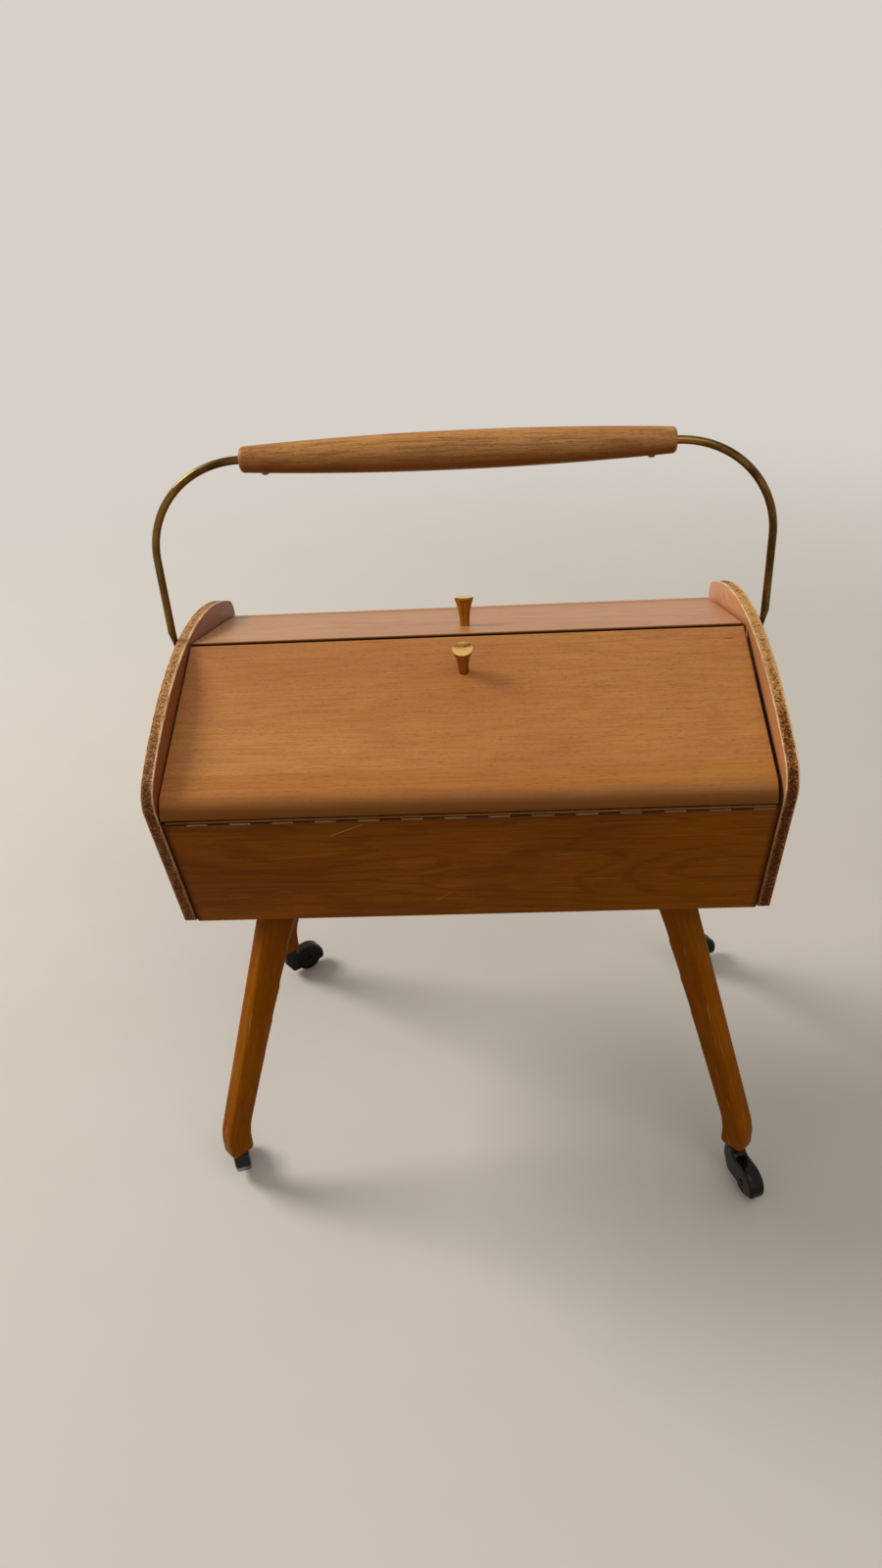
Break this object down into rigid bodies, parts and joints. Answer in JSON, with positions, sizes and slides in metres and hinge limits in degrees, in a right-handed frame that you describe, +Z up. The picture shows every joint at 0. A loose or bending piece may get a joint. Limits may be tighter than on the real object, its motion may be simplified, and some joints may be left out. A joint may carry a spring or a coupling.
{
  "type": "sewing box",
  "caption": "Standing sewing box with sloping lids on piano hinges, a swinging arched carrying handle, splayed bent legs and swivel casters.",
  "frame": {"origin": "on the floor, straight below the middle of the chest", "axes": "+X to the right along the lids, +Y to the rear, +Z up"},
  "size_m": [0.481, 0.3338, 0.6221],
  "materials": {
    "lid_veneer": "satin varnish over figured veneer",
    "nosing_beech": "satin varnish over solid wood",
    "board_veneer": "satin varnish over dark veneer",
    "panel_veneer": "satin varnish, veneered chipboard with open edges",
    "plain_ply": "bare wood",
    "leg_beech": "varnished beech with light scratches",
    "grip_beech": "satin varnish over pale beech",
    "aged_brass": "worn, with brown streaks",
    "knob_brass": "polished",
    "screw_brass": "worn",
    "screw_steel": "zinc plated",
    "hinge_nickel": "nickel plated, slightly tarnished",
    "pin_steel": "plain steel",
    "caster_black": "glossy",
    "wheel_black": "worn tread"
  },
  "bodies": {
    "root": {"end_panel_left": "panel_veneer", "end_panel_right": "panel_veneer", "front_board": "board_veneer", "rear_board": "board_veneer", "bottom_board": "plain_ply", "lid_rest_left": "plain_ply", "lid_rest_right": "plain_ply", "front_hinge_board_leaf": "hinge_nickel", "rear_hinge_board_leaf": "hinge_nickel", "front_hinge_pin": "pin_steel", "rear_hinge_pin": "pin_steel", "leg_front_left": "leg_beech", "leg_front_right": "leg_beech", "leg_rear_left": "leg_beech", "leg_rear_right": "leg_beech", "leg_screws": "screw_steel", "handle_pivot_screws": "screw_brass", "caster_stem_front_left": "pin_steel", "caster_stem_front_right": "pin_steel", "caster_stem_rear_left": "pin_steel", "caster_stem_rear_right": "pin_steel"},
    "front_lid": {"front_lid_panel": "lid_veneer", "front_lid_nosing": "nosing_beech", "front_hinge_lid_leaf": "hinge_nickel", "front_knob": "knob_brass", "front_knob_screw": "screw_steel"},
    "rear_lid": {"rear_lid_panel": "lid_veneer", "rear_lid_nosing": "nosing_beech", "rear_hinge_lid_leaf": "hinge_nickel", "rear_knob": "knob_brass", "rear_knob_screw": "screw_steel"},
    "handle": {"handle_grip": "grip_beech", "handle_rod_left": "aged_brass", "handle_rod_right": "aged_brass", "grip_screws": "screw_brass"},
    "swivel_front_left": {"caster_hood_front_left": "caster_black", "caster_axle_front_left": "pin_steel"},
    "wheel_front_left": {"caster_wheel_front_left": "wheel_black"},
    "swivel_front_right": {"caster_hood_front_right": "caster_black", "caster_axle_front_right": "pin_steel"},
    "wheel_front_right": {"caster_wheel_front_right": "wheel_black"},
    "swivel_rear_left": {"caster_hood_rear_left": "caster_black", "caster_axle_rear_left": "pin_steel"},
    "wheel_rear_left": {"caster_wheel_rear_left": "wheel_black"},
    "swivel_rear_right": {"caster_hood_rear_right": "caster_black", "caster_axle_rear_right": "pin_steel"},
    "wheel_rear_right": {"caster_wheel_rear_right": "wheel_black"}
  },
  "joints": [
    {"name": "front_lid_hinge", "type": "hinge", "parent": "root", "child": "front_lid", "pos_m": [0, -0.15734, 0.404], "axis": [1, 0, 0], "range_deg": [0, 221]},
    {"name": "rear_lid_hinge", "type": "hinge", "parent": "root", "child": "rear_lid", "pos_m": [0, 0.15734, 0.404], "axis": [-1, 0, 0], "range_deg": [0, 221]},
    {"name": "handle_swing", "type": "hinge", "parent": "root", "child": "handle", "pos_m": [0, 0, 0.45198], "axis": [1, 0, 0], "range_deg": [-82, 82]},
    {"name": "caster_swivel_front_left", "type": "hinge", "parent": "root", "child": "swivel_front_left", "pos_m": [-0.2165, -0.137, 0.0376], "axis": [0, 0, 1], "continuous": true},
    {"name": "wheel_spin_front_left", "type": "hinge", "parent": "swivel_front_left", "child": "wheel_front_left", "pos_m": [-0.22293, -0.11596, 0.0145], "axis": [0.9563, 0.2924, 0], "continuous": true},
    {"name": "caster_swivel_front_right", "type": "hinge", "parent": "root", "child": "swivel_front_right", "pos_m": [0.2165, -0.137, 0.0376], "axis": [0, 0, 1], "continuous": true},
    {"name": "wheel_spin_front_right", "type": "hinge", "parent": "swivel_front_right", "child": "wheel_front_right", "pos_m": [0.22474, -0.1574, 0.0145], "axis": [-0.9272, -0.3746, 0], "continuous": true},
    {"name": "caster_swivel_rear_left", "type": "hinge", "parent": "root", "child": "swivel_rear_left", "pos_m": [-0.2105, 0.129, 0.0376], "axis": [0, 0, 1], "continuous": true},
    {"name": "wheel_spin_rear_left", "type": "hinge", "parent": "swivel_rear_left", "child": "wheel_rear_left", "pos_m": [-0.1934, 0.14285, 0.0145], "axis": [0.6293, -0.7771, 0], "continuous": true},
    {"name": "caster_swivel_rear_right", "type": "hinge", "parent": "root", "child": "swivel_rear_right", "pos_m": [0.2105, 0.129, 0.0376], "axis": [0, 0, 1], "continuous": true},
    {"name": "wheel_spin_rear_right", "type": "hinge", "parent": "swivel_rear_right", "child": "wheel_rear_right", "pos_m": [0.22992, 0.13933, 0.0145], "axis": [0.4695, -0.8829, 0], "continuous": true}
  ]
}
